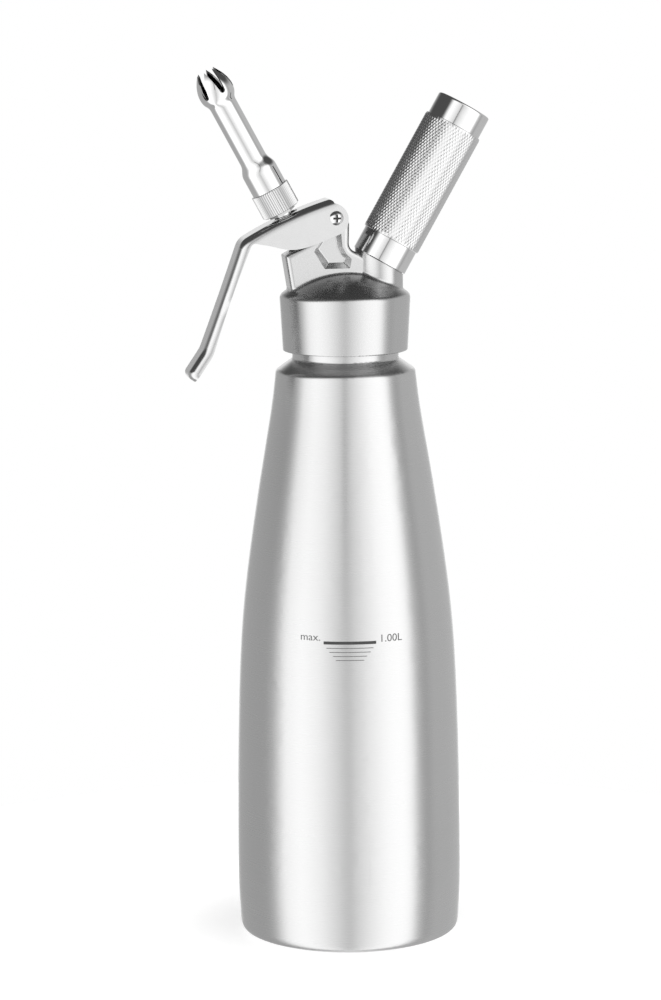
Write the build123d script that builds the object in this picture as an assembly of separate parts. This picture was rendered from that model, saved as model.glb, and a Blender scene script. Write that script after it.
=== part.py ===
from build123d import *
from math import cos, pi, radians, sin, sqrt, tan
import os

# Whipped cream dispenser, one litre, all stainless steel. Millimetres.
# Origin: on the bottle's axis, in the plane that the bottle stands on. +Z is up. The valve leans
# towards -X and the charger holder towards +X, both in the plane Y = 0.

os.makedirs("parts", exist_ok=True)

# ---------------------------------------------------------------- clearances shared by many pieces
touch_gap = 0.03  # between faces of two moving bodies that only rest on each other
running_gap = 0.1  # radial, shaft in its guide
thread_gap = 0.15  # radial, crest of a male thread to the bore of the female one
press_gap = 0.0  # radial, pieces that are fixed in each other

# ---------------------------------------------------------------- bottle
bottle_diameter = 99.7
bottle_height = 279.6  # to the rim
bottle_wall = 1.0
belly_height = 32.6  # the widest place
# from the belly down to the foot ring: share of the height, share of the way in, degrees turned under
base_shape = ((0.552, 0.018, 1.2), (0.245, 0.052, 3.5), (0.102, 0.119, 47.0), (0.0457, 0.337, 72.0),
              (0.0052, 0.757, 85.0))
foot_ring_diameter = 66.8
foot_ring_width = 3.0
punt_slope_width = 3.5
punt_depth = 2.2
shoulder_diameter = 61.7
shoulder_rise = 5.2  # from the shoulder's edge to the root of the neck
shoulder_edge_radius = 2.6
neck_diameter = 47.0
neck_length = 19.5
neck_root_radius = 1.2
# the flank between belly and shoulder: how far up, how far in
flank_shape = ((0.297, 0.05), (0.5175, 0.187), (0.666, 0.403), (0.846, 0.739), (0.958, 0.947))
flank_end_slope = 0.1

# ---------------------------------------------------------------- threaded neck ring
neck_ring_wall = 1.1
neck_thread_depth = 0.7
neck_thread_pitch = 3.0
neck_thread_turns = 4
neck_thread_land = 0.9
neck_bead_height = 2.6
neck_bead_width = 0.8
neck_bead_rise = 3.4  # from the root of the neck to the underside of the bead
rim_above_ring = 1.4

# ---------------------------------------------------------------- head: collar and dome
gasket_thickness = 3.0
gasket_width = 4.2
collar_wall = 2.1
collar_flare = 1.3  # the collar is wider at the top
collar_rise = 3.5  # from the root of the neck to the collar's lower edge
collar_foot_rounding = 0.5
collar_edge_radius = 2.8
roof_thickness = 5.4  # ceiling of the collar to the corner of the dome
dome_radius = 44.8
ceiling_step = 5.2
cavity_diameter = 34.0

# ---------------------------------------------------------------- head: valve side
valve_axis_drop = 9.1  # the valve's axis crosses the bottle's axis this far under the ceiling
valve_tilt = 28.3  # degrees from upright
boss_reach = 41.6  # all reaches are along a slanted axis from its crossing
boss_half_length = 8.8
boss_width = 14.4
boss_foot_inset = 4.8  # from the collar's side to the boss's left face
boss_edge_radius = 2.2
seat_reach = 16.0
seat_pocket_diameter = 19.0
inlet_diameter = 9.2
inlet_length = 3.8
guide_length = 6.2
spring_bore_diameter = 11.2

# ---------------------------------------------------------------- head: web, lug and pocket
pivot_reach = 45.5
lever_arm = 18.7  # from the valve's axis to the pivot
lug_radius = 4.8
lug_back = 6.3  # from the pivot to the lug's rear face
lug_shoulder_drop = 2.6
lug_shoulder_radius = 2.4
lug_waist = 0.3  # the lug's rear face draws in by this much towards its foot
lug_foot_radius = 4.0
lug_top_radius = 4.6
lug_toe_radius = 1.0
boss_left_radius = 0.8
boss_right_radius = 1.5
web_root = 2.0  # the web and the charger's column start this far over the ceiling
pocket_depth = 3.2
pocket_draft = 2.4  # how far the pocket's floor is drawn in from its edge
pocket_top_drop = 5.0
pocket_rounding = 0.7
pocket_floor_drop = 22.3
pocket_rib = 4.1  # rib between pocket and the lug's rear face
pocket_start = (3.2, 4.3)  # the corner by the boss: right of the valve's axis, under the boss's top
pocket_lean = 4.7  # how far the pocket's left side leans to the right on its way down
pocket_top_run = 6.5  # from the corner by the boss to the upper corner
# the pocket's toe over the dome: to the right of the rib's face, up from the pocket's floor
pocket_toe = ((4.0, 0.0), (4.8, 4.2), (2.4, 6.4), (0.7, 9.6))
web_blend_radius = 1.5

# ---------------------------------------------------------------- head: charger side
charger_axis_drop = 7.1
charger_tilt = 29.7
charger_boss_reach = 30.9
charger_boss_diameter = 24.2
stub_length = 8.0
stub_diameter = 20.7
stub_thread_depth = 0.6
stub_thread_pitch = 1.5
stub_thread_turns = 4
charging_bore_diameter = 12.2
charging_bore_floor = 19.2
gas_passage_diameter = 4.4

# ---------------------------------------------------------------- lever
lever_gap = 0.35  # between the boss and the lever's cheek, each side
lever_sheet = 1.6
lever_edge_radius = 4.0
plate_lean = 7.6  # degrees, the plate against the square of the valve's axis
plate_height = 8.3  # above the pivot
plate_crown = 1.5
bend_drop = 2.3  # the bend lies this much lower than the pivot's end of the plate
plate_start = -1.6  # from the pivot, towards the handle
plate_end = 42.4
plate_nose = 1.8  # rounding of the plate's end over the pivot
plate_nose_lift = 0.15  # the plate has risen this much where its end begins to round
bend_angle = 49.2
bend_radius = 8.0
handle_length = 50.5
handle_crown = -0.2  # the back of the handle is very slightly hollow
handle_under_crown = 0.7
handle_depth = 4.6
kick_angle = 14.2
kick_length = 13.5
kick_radius = 12.0
cheek_end = 1.9  # middle of the round end, from the pivot towards the handle
cheek_end_radius = 7.2
cheek_depth = 7.3
cheek_flat = 12.5
cheek_belly = (0.58, 0.68)  # the underside's way up: shares of the plate's end and of the cheek's depth
cheek_level = 0.76  # where it passes the pivot's height, as a share of the plate's end
cheek_corner_rise = 3.2  # from the bend up the underside of the handle
cheek_corner_radius = 2.0
tip_radius = 2.8
tip_wall = 3.0
stem_slot_extra = 1.9

# ---------------------------------------------------------------- lever pivot
pivot_diameter = 5.0
pivot_head_diameter = 6.3
pivot_head_height = 1.7
pivot_screw_diameter = 3.0
pivot_screw_length = 9.0
cross_width = 0.9
cross_length = 3.4
cross_depth = 0.9

# ---------------------------------------------------------------- valve stem and what rides on it
stem_diameter = 7.2
stem_bore_diameter = 3.8
stem_in_adapter = 6.4  # how deep the stem ends in the nozzle adapter
flange_diameter = 14.0
flange_thickness = 2.0
valve_seal_thickness = 3.0
valve_seal_diameter = 13.2
port_diameter = 2.6
port_reach = 1.9  # above the seat
bore_below_port = 0.8
oring_cord = 1.1
oring_reach = 8.4  # above the seat
spring_wire = 1.1
spring_turns = 7
spring_mean_diameter = 9.2
cap_diameter = 12.8
cap_skirt = 6.0
cap_crown_radius = 25.0
cap_height = 8.8
plate_gap = 0.26  # lever plate to the pushing faces on the stem
nut_across_flats = 10.6
nut_thickness = 1.3
nut_lift = 1.05  # clear of the plate when the lever tilts

# ---------------------------------------------------------------- nozzle and its ribbed adapter
adapter_gap = 0.07  # over the stem nut
adapter_length = 11.0
adapter_diameter = 17.4
adapter_rib_count = 54
adapter_rib_depth = 0.35
adapter_edge = 0.4
adapter_stub_length = 5.3
nozzle_gasket_thickness = 1.5
nozzle_passage_diameter = 4.8
nozzle_wall = 1.0
nozzle_base_diameter = 15.9
nozzle_base_length = 8.7
nozzle_thread_wall = 1.4
nozzle_thread_length = 6.3
nozzle_flare_length = 6.4
nozzle_tube_diameter = 12.2
nozzle_tube_length = 26.6
tulip_length = 16.6
tulip_diameter = 15.9
tulip_belly = 6.4  # from the tube's end up to the widest place
tulip_swell = (0.5, 0.66)  # where the tube swells: share of the way up to the belly, share of the widening
tulip_mouth_diameter = 8.4
tooth_count = 6
tooth_length = 11.0
tooth_slot_width = 2.5
tooth_point = 0.25
tooth_turn = 14.6  # degrees, where the nozzle stands when it is screwed home

# ---------------------------------------------------------------- charging valve
charging_body_reach = 19.8
charging_body_length = 12.4
plunger_chamber_diameter = 6.8
plunger_chamber_length = 8.6
pin_diameter = 2.0
pin_bore_diameter = 0.9
pin_end_reach = 38.2
pin_point_length = 2.6
charging_oring_reach = 23.8
charging_oring_cord = 1.2
charger_seal_thickness = 2.4
charger_seal_diameter = 10.0
plunger_diameter = 5.2
plunger_length = 3.0
plunger_stem_diameter = 2.0
plunger_stem_length = 2.2
retainer_thickness = 1.0
retainer_hole_diameter = 2.8
check_spring_wire = 0.4
check_spring_mean_diameter = 3.8
check_spring_turns = 5

# ---------------------------------------------------------------- gas charger, 8 g
charger_diameter = 17.8
charger_length = 65.5
charger_wall = 1.2
charger_neck_diameter = 8.9
charger_neck_length = 8.5
charger_neck_reach = 36.2
charger_cap_thickness = 0.8

# ---------------------------------------------------------------- charger holder
holder_length = 78.0
holder_ring_diameter = 25.4
holder_lower_ring = 10.8
holder_sleeve_diameter = 26.7
holder_sleeve_length = 57.1
holder_cap_diameter = 25.0
holder_neck_wall = 1.1  # what is left of the holder's wall under the sleeve's bore
holder_bore_gap = 0.35
holder_thread_length = 9.2
holder_cap_spigot = 5.0
holder_cap_edge_radius = 0.9
holder_chamfer = 0.4

# ---------------------------------------------------------------- sizes that follow
bottle_radius = bottle_diameter / 2
shoulder_radius = shoulder_diameter / 2
neck_radius = neck_diameter / 2
neck_root_z = bottle_height - neck_length
shoulder_z = neck_root_z - shoulder_rise
neck_bore_radius = neck_radius - bottle_wall

ring_root_radius = neck_radius + neck_ring_wall
ring_crest_radius = ring_root_radius + neck_thread_depth
ring_top_z = bottle_height - rim_above_ring
bead_z = neck_root_z + neck_bead_rise

collar_bore_radius = ring_crest_radius + thread_gap
collar_foot_radius = collar_bore_radius + collar_wall
collar_radius = collar_foot_radius + collar_flare
collar_z = neck_root_z + collar_rise
ceiling_z = bottle_height + gasket_thickness
collar_corner_z = ceiling_z + roof_thickness
dome_crown_z = collar_corner_z + dome_radius - sqrt(dome_radius**2 - collar_radius**2)

valve_crossing = Vector(0, 0, ceiling_z - valve_axis_drop)
charger_crossing = Vector(0, 0, ceiling_z - charger_axis_drop)


def leaning_frame(crossing, tilt):
    """Frame on a slanted axis: its own Z runs up the axis, its own X up and towards +X or down."""
    lean = radians(tilt)
    return Plane(origin=crossing, x_dir=(cos(lean), 0, -sin(lean)), z_dir=(sin(lean), 0, cos(lean)))


valve_frame = leaning_frame(valve_crossing, -valve_tilt)
charger_frame = leaning_frame(charger_crossing, charger_tilt)

stem_radius = stem_diameter / 2
guide_radius = stem_radius + running_gap
guide_start = seat_reach + inlet_length
spring_floor = guide_start + guide_length

pivot = valve_frame.from_local_coords(Vector(lever_arm, 0, pivot_reach))
plate_pitch = radians(valve_tilt - plate_lean)
# the lever is drawn in its own frame: X along the plate towards the handle, Y square to it
lever_frame = Plane(origin=pivot, x_dir=(-cos(plate_pitch), 0, -sin(plate_pitch)), z_dir=(0, 1, 0))
lever_inner_width = boss_width + 2 * lever_gap
lever_width = lever_inner_width + 2 * lever_sheet


# ---------------------------------------------------------------- drawing helpers
def outline(*corners):
    """Flat closed face from corners (x, y) or, with a rounded corner, (x, y, radius)."""
    points = [corner[:2] for corner in corners]
    radii = [corner[2] if len(corner) > 2 else 0 for corner in corners]
    return make_face(FilletPolyline(*points, radius=radii, close=True))


def turned(*corners):
    """Solid of revolution about Z from corners (radius, height[, rounding])."""
    return revolve(Plane.XZ * outline(*corners), Axis.Z)


def tube(inner_radius, outer_radius, bottom, top):
    """Plain ring or, with no inner radius, a plain disc about Z."""
    corners = ((inner_radius, bottom), (outer_radius, bottom), (outer_radius, top), (inner_radius, top))
    return turned(*corners)


def thread_ridges(root, crest, land, pitch, turns, bottom):
    """Row of round ridges that stands for a thread on a cylinder of the root radius."""
    flank = (pitch - land) / 3
    overlap = 0.2
    ridges = []
    for turn in range(turns):
        foot = bottom + turn * pitch
        ridges.append(turned(
            (root - overlap, foot), (root, foot), (crest, foot + flank), (crest, foot + flank + land),
            (root, foot + 2 * flank + land), (root - overlap, foot + 2 * flank + land)))
    return ridges


def torus_ring(mean_radius, cord_radius, height):
    """Round-section ring about Z."""
    return Pos(0, 0, height) * Torus(mean_radius, cord_radius)


def coil(mean_radius, wire, turns, bottom, top):
    """Helical spring about Z whose wire stays between the two heights."""
    rise = top - bottom - wire
    path = Helix(pitch=rise / turns, height=rise, radius=mean_radius)
    section = Plane(origin=path @ 0, z_dir=path % 0) * Circle(wire / 2)
    return Pos(0, 0, bottom + wire / 2) * sweep(section, path=path)


def rounded_at(face, spots):
    """Face with the corner nearest to each spot rounded: spots are ((x, y), radius)."""
    for spot, radius in spots:
        face = fillet(face.vertices().sort_by_distance((spot[0], spot[1], 0))[0], radius)
    return face


def save(name, shape):
    """Write one piece; it has to be a single solid."""
    solids = shape.solids()
    assert len(solids) == 1, f"{name} has {len(solids)} solids"
    solids[0].label = name
    export_step(solids[0], f"parts/{name}.step")


# ---------------------------------------------------------------- bottle
def bottle_solid(inset):
    """The bottle's outer form, or the room inside it when drawn one wall further in."""
    belly = bottle_radius - inset
    neck = neck_radius - inset
    slope = shoulder_rise / (shoulder_radius - neck_radius)
    drop = inset * sqrt(1 + slope**2)
    edge = shoulder_radius - inset

    def shoulder_height(radius):
        return neck_root_z - slope * (radius - neck_radius) - drop

    span = shoulder_height(edge) - belly_height
    lean_in = belly - edge
    flank_points = [(belly - lean_in * far_in, belly_height + span * far_up)
                    for far_up, far_in in flank_shape]
    shoulder = (edge, shoulder_height(edge))
    flank = Spline((belly, belly_height), *flank_points, shoulder,
                   tangents=((0, 1), (-flank_end_slope, 1)))
    foot = foot_ring_diameter / 2
    base_width = bottle_radius - foot
    base_points = [(bottle_radius - base_width * far_in - inset * cos(radians(turned_under)),
                    belly_height * far_up + inset * sin(radians(turned_under)))
                   for far_up, far_in, turned_under in base_shape]
    base = Spline((belly, belly_height), *base_points, (foot, inset), tangents=((0, -1), (-1, 0)))
    lid = bottle_height + (1.0 if inset else 0.0)
    neck_root = (neck, shoulder_height(neck))
    ring_inner = foot - foot_ring_width
    rest = Polyline(shoulder, neck_root, (neck, lid), (0, lid), (0, punt_depth + inset),
                    (ring_inner - punt_slope_width, punt_depth + inset), (ring_inner, inset), (foot, inset))
    face = make_face([flank, rest, base])

    def corner(at):
        return face.vertices().sort_by_distance((at[0], at[1], 0))[0]

    face = fillet(corner(shoulder), max(shoulder_edge_radius - inset, 0.5))
    face = fillet(corner(neck_root), neck_root_radius + inset)
    return revolve(Plane.XZ * face, Axis.Z)


def make_bottle():
    return bottle_solid(0) - bottle_solid(bottle_wall)


def make_neck_ring():
    bead = ring_root_radius - neck_ring_wall + neck_bead_width
    body = turned((neck_radius, bead_z), (bead, bead_z), (bead, bead_z + neck_bead_height),
                  (ring_root_radius, bead_z + neck_bead_height + 0.4),
                  (ring_root_radius, ring_top_z), (neck_radius, ring_top_z))
    thread_height = neck_thread_turns * neck_thread_pitch
    return body + thread_ridges(ring_root_radius, ring_crest_radius, neck_thread_land,
                                neck_thread_pitch, neck_thread_turns, ring_top_z - thread_height)


# ---------------------------------------------------------------- head
gasket_outer_radius = ring_root_radius - 0.1
gasket_inner_radius = gasket_outer_radius - gasket_width


def make_head_gasket():
    return tube(gasket_inner_radius, gasket_outer_radius, bottle_height + touch_gap, ceiling_z)


def collar_and_dome():
    """Outer form of collar and dome, not yet bored."""
    rest = Polyline((collar_radius, collar_corner_z), (collar_foot_radius, collar_z), (0, collar_z),
                    (0, dome_crown_z))
    half = collar_radius / 2
    dome = ThreePointArc((0, dome_crown_z), (half, dome_height(half)), (collar_radius, collar_corner_z))
    spots = (((collar_radius, collar_corner_z), collar_edge_radius),
             ((collar_foot_radius, collar_z), collar_foot_rounding))
    return revolve(Plane.XZ * rounded_at(make_face([rest, dome]), spots), Axis.Z)


def dome_height(radius):
    """Height of the dome's surface at a distance from the bottle's axis."""
    return dome_crown_z - dome_radius + sqrt(dome_radius**2 - radius**2)


def in_head(point):
    """Place of a point of the valve's frame in the head's upright plane, as (x, z)."""
    spot = valve_frame.from_local_coords(Vector(point[0], 0, point[1]))
    return spot.X, spot.Z


boss_left = in_head((-boss_half_length, boss_reach))
boss_right = in_head((boss_half_length, boss_reach))
charger_boss_radius = charger_boss_diameter / 2
charger_boss_centre = charger_frame.from_local_coords(Vector(0, 0, charger_boss_reach))
charger_boss_left = charger_frame.from_local_coords(Vector(-charger_boss_radius, 0, charger_boss_reach))
lug_back_x = pivot.X + lug_back


def web_plate():
    """Upright plate of valve boss, web and pivot lug, as wide as the boss."""
    buried = ceiling_z + web_root
    lug_left = pivot.X - lug_radius
    corners = (
        (boss_foot_inset - collar_radius, buried),
        (boss_left[0], boss_left[1], boss_left_radius),
        (boss_right[0], boss_right[1], boss_right_radius),
        (lug_left, pivot.Z - lug_radius / 2, lug_toe_radius),
        (lug_left, pivot.Z + lug_radius, lug_top_radius),
        (pivot.X + lug_radius / 2, pivot.Z + lug_radius, lug_radius / 2),
        (lug_back_x, pivot.Z - lug_shoulder_drop, lug_shoulder_radius),
        (lug_back_x - lug_waist, charger_boss_left.Z + lug_waist, lug_foot_radius),
        (charger_boss_centre.X, charger_boss_centre.Z - web_root / 2),
        (charger_boss_centre.X, buried),
    )
    return extrude(Plane.XZ * outline(*corners), boss_width / 2, both=True)


def charger_column():
    """Round boss under the charger holder: its rim, carried straight down into the dome."""
    across = charger_boss_radius * cos(radians(charger_tilt))
    column = Pos(charger_boss_centre.X, 0, ceiling_z + web_root) * extrude(
        Ellipse(across, charger_boss_radius), charger_boss_reach)
    above = charger_frame * (Pos(0, 0, charger_boss_reach) * Box(
        4 * charger_boss_diameter, 4 * charger_boss_diameter, charger_boss_reach,
        align=(Align.CENTER, Align.CENTER, Align.MIN)))
    return column - above


def web_pocket():
    """The recess in one side of the web, with sloping sides, to be cut from both sides."""
    left, left_z = in_head((pocket_start[0], boss_reach - pocket_start[1]))
    top_z = pivot.Z - pocket_top_drop
    floor_z = pivot.Z - pocket_floor_drop
    rib_x = lug_back_x - pocket_rib
    toe = [(rib_x + right, floor_z + up) for right, up in pocket_toe]
    edge = ((left, left_z), (left + pocket_lean, floor_z), *toe, (rib_x, top_z),
            (left + pocket_top_run, top_z))
    # how far the floor's corners are drawn in from the rim's, as shares of the draft
    drawn_in = ((1, 0.4), (1, 1), (-1, 1), (-1, 0.1), (-0.8, 0), (-0.75, 0), (-0.75, 0), (0.8, 0))
    floor = [(x + pocket_draft * sx, z + pocket_draft * sz) for (x, z), (sx, sz) in zip(edge, drawn_in)]
    face_y = boss_width / 2
    lift = pocket_draft / 5
    steep = (pocket_depth + lift) / pocket_depth
    rim = [(fx + (x - fx) * steep, fz + (z - fz) * steep) for (x, z), (fx, fz) in zip(edge, floor)]
    outer = Plane(origin=(0, -face_y - lift, 0), x_dir=(1, 0, 0), z_dir=(0, -1, 0))
    inner = Plane(origin=(0, -face_y + pocket_depth, 0), x_dir=(1, 0, 0), z_dir=(0, -1, 0))
    recess = loft([outer * make_face(Polyline(*rim, close=True)),
                   inner * make_face(Polyline(*floor, close=True))], ruled=True)
    buried = recess.edges().filter_by(lambda edge: edge.bounding_box().max.Y > -face_y)
    return fillet(buried, pocket_rounding)


def blended(body):
    """Soft corners where web and charger boss meet the dome and each other."""
    sphere_z = dome_crown_z - dome_radius

    def on_dome(point):
        from_centre = sqrt(point.X**2 + point.Y**2 + (point.Z - sphere_z)**2)
        return abs(from_centre - dome_radius) < 0.02 and point.X**2 + point.Y**2 < (collar_radius - 2)**2

    def meets_dome(edge):
        return all(on_dome(edge.position_at(share)) for share in (0.1, 0.5, 0.9))

    return fillet(body.edges().filter_by(meets_dome), web_blend_radius)


def make_head():
    body = collar_and_dome() + web_plate() + charger_column()
    body = blended(round_boss(body))
    pocket = web_pocket()
    body = body - pocket - pocket.mirror(Plane.XZ)

    stub_top = charger_boss_reach + stub_length
    stub_root = stub_diameter / 2 - stub_thread_depth
    stub = tube(0, stub_root, charger_boss_reach - 1, stub_top)
    stub = stub + thread_ridges(stub_root, stub_diameter / 2, stub_thread_pitch / 4, stub_thread_pitch,
                                stub_thread_turns, stub_top - stub_thread_turns * stub_thread_pitch)
    body = body + charger_frame * stub

    inside = turned((0, collar_z - 1), (collar_bore_radius, collar_z - 1), (collar_bore_radius, ceiling_z),
                    (cavity_diameter / 2, ceiling_z), (cavity_diameter / 2, ceiling_z + ceiling_step, 2.5),
                    (0, ceiling_z + ceiling_step))
    body = body - inside

    valve_bore = (
        tube(0, seat_pocket_diameter / 2, valve_axis_drop / 2, seat_reach)
        + tube(0, inlet_diameter / 2, seat_reach - 1, guide_start)
        + tube(0, guide_radius, guide_start - 1, spring_floor + 1)
        + tube(0, spring_bore_diameter / 2, spring_floor, boss_reach + 1))
    body = body - valve_frame * valve_bore

    charging_bore = (
        tube(0, charging_bore_diameter / 2, charging_bore_floor, stub_top + 1)
        + tube(0, gas_passage_diameter / 2, charger_axis_drop, charging_bore_floor + 1))
    body = body - charger_frame * charging_bore

    return body - pivot_hole(2 * boss_width)


def pivot_hole(length):
    """Cutter for the hole that the pivot turns in."""
    return Pos(*pivot) * Rot(90, 0, 0) * Cylinder(pivot_diameter / 2 + running_gap / 2, length)


def round_boss(body):
    """Round the upright edges of the valve boss and the two long edges over the lug."""
    def on_left_face(edge):
        middle = edge.center()
        return (abs(abs(middle.Y) - boss_width / 2) < 0.01
                and middle.X < (boss_left[0] + boss_foot_inset - collar_radius) / 2 + boss_right_radius
                and middle.Z > dome_crown_z - dome_radius / 5 and edge.length > boss_width / 3)
    edges = body.edges().filter_by(on_left_face)
    return fillet(edges, boss_edge_radius)


# ---------------------------------------------------------------- lever
def lever_spine(inset):
    """Points of the lever's outer line, drawn in by inset: plate start, bend, kick and handle end."""
    bend = radians(bend_angle)
    kick = radians(bend_angle - kick_angle)
    bend_at = (plate_end, plate_height - bend_drop)
    kick_at = (bend_at[0] + handle_length * cos(bend), bend_at[1] - handle_length * sin(bend))
    tip_at = (kick_at[0] + kick_length * cos(kick), kick_at[1] - kick_length * sin(kick))
    half_kick = (bend + kick) / 2
    kick_in = inset / cos((bend - kick) / 2)
    return (
        (plate_start, plate_height - inset),
        (bend_at[0] - inset * tan(bend / 2), bend_at[1] - inset),
        (kick_at[0] - kick_in * sin(half_kick), kick_at[1] - kick_in * cos(half_kick)),
        (tip_at[0] - inset * sin(kick), tip_at[1] - inset * cos(kick)),
    )


def bowed(start, end, rise):
    """Arc from start to end that stands out by rise on the left of its way."""
    way = Vector(*end) - Vector(*start)
    side = Vector(-way.Y, way.X).normalized()
    middle = (Vector(*start) + Vector(*end)) / 2 + side * rise
    return ThreePointArc(start, middle, end)


def lever_back(inset, tip_short):
    """Everything inside the lever's back line, which ends in a squared-off tip."""
    start, bend, kick, tip = lever_spine(inset)
    kick_dir = radians(bend_angle - kick_angle)
    end = (tip[0] - tip_short * cos(kick_dir), tip[1] + tip_short * sin(kick_dir))
    inward = (end[0] - 2 * plate_end * sin(kick_dir), end[1] - 2 * plate_end * cos(kick_dir))
    plate = bowed(start, bend, plate_crown)
    rising = plate % 0
    behind = (start[0] - 2 * plate_height, start[1] - 2 * plate_height * rising.Y / rising.X)
    back = [Line(behind, start), plate, bowed(bend, kick, handle_crown), Polyline(kick, end, inward)]
    closing = Polyline(inward, (behind[0], inward[1]), behind)
    spots = ((bend, max(bend_radius - inset, 0.8)), (kick, kick_radius), (end, max(tip_radius - inset, 0.8)))
    return rounded_at(make_face(back + [closing]), spots), closing


def lever_side():
    """Side view of the lever's lower edges: round end at the pivot, cheek, underside of the handle."""
    bend_in, kick_in, tip_in = lever_spine(handle_depth)[1:]
    end_low = (cheek_end, -cheek_end_radius)
    end_back = (cheek_end - cheek_end_radius, 0)
    bend = radians(bend_angle)
    corner = (bend_in[0] - cheek_corner_rise * cos(bend), bend_in[1] + cheek_corner_rise * sin(bend))
    low = (cheek_belly[0] * plate_end, -cheek_belly[1] * cheek_depth)
    rising = (cheek_level * plate_end, 0.0)
    beyond = (tip_in[0] + 2 * tip_radius * cos(radians(bend_angle)),
              tip_in[1] - 2 * tip_radius * sin(radians(bend_angle)))
    above = 2 * plate_height
    top = (plate_start, sqrt(cheek_end_radius**2 - (cheek_end - plate_start)**2))
    nose = (plate_start + plate_nose, plate_height + plate_nose_lift - plate_nose)
    nose_middle = (nose[0] - plate_nose * cos(radians(45)), nose[1] + plate_nose * sin(radians(45)))
    lines = [
        Spline(end_low, (cheek_flat, -cheek_depth), low, rising, corner, tangents=((1, 0), (1, 0.85))),
        bowed(corner, kick_in, handle_under_crown),
        Polyline(kick_in, tip_in, beyond, (beyond[0] + above, beyond[1]), (beyond[0] + above, above),
                 (nose[0], above), (nose[0], nose[1] + plate_nose)),
        ThreePointArc((nose[0], nose[1] + plate_nose), nose_middle, (plate_start, nose[1])),
        Line((plate_start, nose[1]), top),
        ThreePointArc(top, end_back, end_low),
    ]
    spots = ((corner, cheek_corner_radius), (kick_in, kick_radius + handle_depth))
    return rounded_at(make_face(lines), spots)


def make_lever():
    back, closing = lever_back(0, 0)
    body = extrude(back, lever_width / 2, both=True)
    straight_cuts = [line.center() for line in closing.edges()]

    def along_back(edge):
        middle = edge.center()
        clear = all((Vector(middle.X, middle.Y) - cut).length > 0.1 for cut in straight_cuts)
        return clear and abs(abs(middle.Z) - lever_width / 2) < 0.01

    body = fillet(body.edges().filter_by(along_back), lever_edge_radius)
    body = body & extrude(lever_side(), lever_width, both=True)
    hollow = extrude(lever_back(lever_sheet, tip_wall)[0], lever_inner_width / 2, both=True)
    body = lever_frame * (body - hollow)
    slot_radius = stem_radius + 0.8
    slot = Pos(stem_slot_extra / 2, 0, pivot_reach) * extrude(
        SlotOverall(2 * slot_radius + stem_slot_extra, 2 * slot_radius), 4 * plate_height)
    return body - valve_frame * slot - pivot_hole(2 * lever_width)


# ---------------------------------------------------------------- lever pivot
def crown_arc(radius, height, top, ball):
    """Arc in section from the axis at top out to radius, height lower, on a ball of that radius."""
    half = (radius / 2, top - ball + sqrt(ball**2 - radius**2 / 4))
    return ThreePointArc((0, top), half, (radius, top - height))


def domed_head(radius, height):
    """Low domed screw head that stands on Z = 0."""
    dome = crown_arc(radius, height, height, (radius**2 + height**2) / (2 * height))
    return revolve(Plane.XZ * make_face([Polyline((radius, 0), (0, 0), (0, height)), dome]), Axis.Z)


def across_lever(shape, side):
    """Put a piece drawn on Z = 0 on the lever's outer cheek face at the pivot, facing out."""
    turn = 90 if side < 0 else -90
    return Pos(pivot.X, side * lever_width / 2, pivot.Z) * Rot(turn, 0, 0) * shape


def make_pivot_barrel():
    barrel_length = lever_width - 0.2
    body = tube(0, pivot_diameter / 2, -barrel_length, 0.2)
    body = body + domed_head(pivot_head_diameter / 2, pivot_head_height)
    bore = tube(0, pivot_screw_diameter / 2, -barrel_length - 1, -barrel_length + pivot_screw_length + 1)
    return across_lever(Pos(0, 0, touch_gap) * (body - bore), 1)


def make_pivot_screw():
    head = domed_head(pivot_head_diameter / 2, pivot_head_height)
    shank = tube(0, pivot_screw_diameter / 2 - 0.02, -pivot_screw_length, 0.2)
    slot = Box(cross_length, cross_width, cross_depth + 0.2)
    recess = Pos(0, 0, pivot_head_height - cross_depth / 2) * (slot + Rot(0, 0, 90) * slot)
    return across_lever(Pos(0, 0, touch_gap) * (head + shank - recess), -1)


# ---------------------------------------------------------------- valve stem group
def plate_reach(height):
    """Reach at which the valve's axis meets a line of the lever's plate this high above the pivot."""
    lean = radians(plate_lean)
    half = (plate_end - plate_start) / 2
    along = lever_arm / cos(lean) + height * tan(lean) - plate_start
    fallen = bend_drop * along / (2 * half)
    crowned = height - fallen + plate_crown * (1 - (along / half - 1)**2)
    return pivot_reach + crowned / cos(lean) + lever_arm * tan(lean)


plate_under_reach = plate_reach(plate_height - lever_sheet)
nut_reach = plate_reach(plate_height) + nut_lift
adapter_reach = nut_reach + nut_thickness + adapter_gap
stem_end_reach = adapter_reach + stem_in_adapter


seal_top = seat_reach - touch_gap
flange_top = seal_top - valve_seal_thickness
oring_middle = seat_reach + oring_reach
groove_radius = guide_radius - 0.02 - oring_cord


def make_valve_stem():
    flange_bottom = flange_top - flange_thickness
    flange = turned((0, flange_bottom), (flange_diameter / 2, flange_bottom, 0.6),
                    (flange_diameter / 2, flange_top), (0, flange_top))
    body = tube(0, stem_radius, flange_top - 0.5, stem_end_reach) + flange
    half_groove = oring_cord / 2 + 0.1
    groove = tube(groove_radius, stem_radius + 1, oring_middle - half_groove, oring_middle + half_groove)
    port_z = seat_reach + port_reach
    bore = tube(0, stem_bore_diameter / 2, port_z - port_diameter / 2 - bore_below_port, stem_end_reach + 1)
    port = Pos(0, 0, port_z) * Rot(90, 0, 0) * Cylinder(port_diameter / 2, stem_diameter + 2)
    port_across = Pos(0, 0, port_z) * Rot(0, 90, 0) * Cylinder(port_diameter / 2, stem_diameter + 2)
    return valve_frame * (body - groove - bore - port - port_across)


def make_valve_seal():
    return valve_frame * tube(stem_radius + press_gap, valve_seal_diameter / 2, flange_top, seal_top)


def make_stem_oring():
    return valve_frame * torus_ring(groove_radius + oring_cord / 2, oring_cord / 2 - 0.01, oring_middle)


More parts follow.
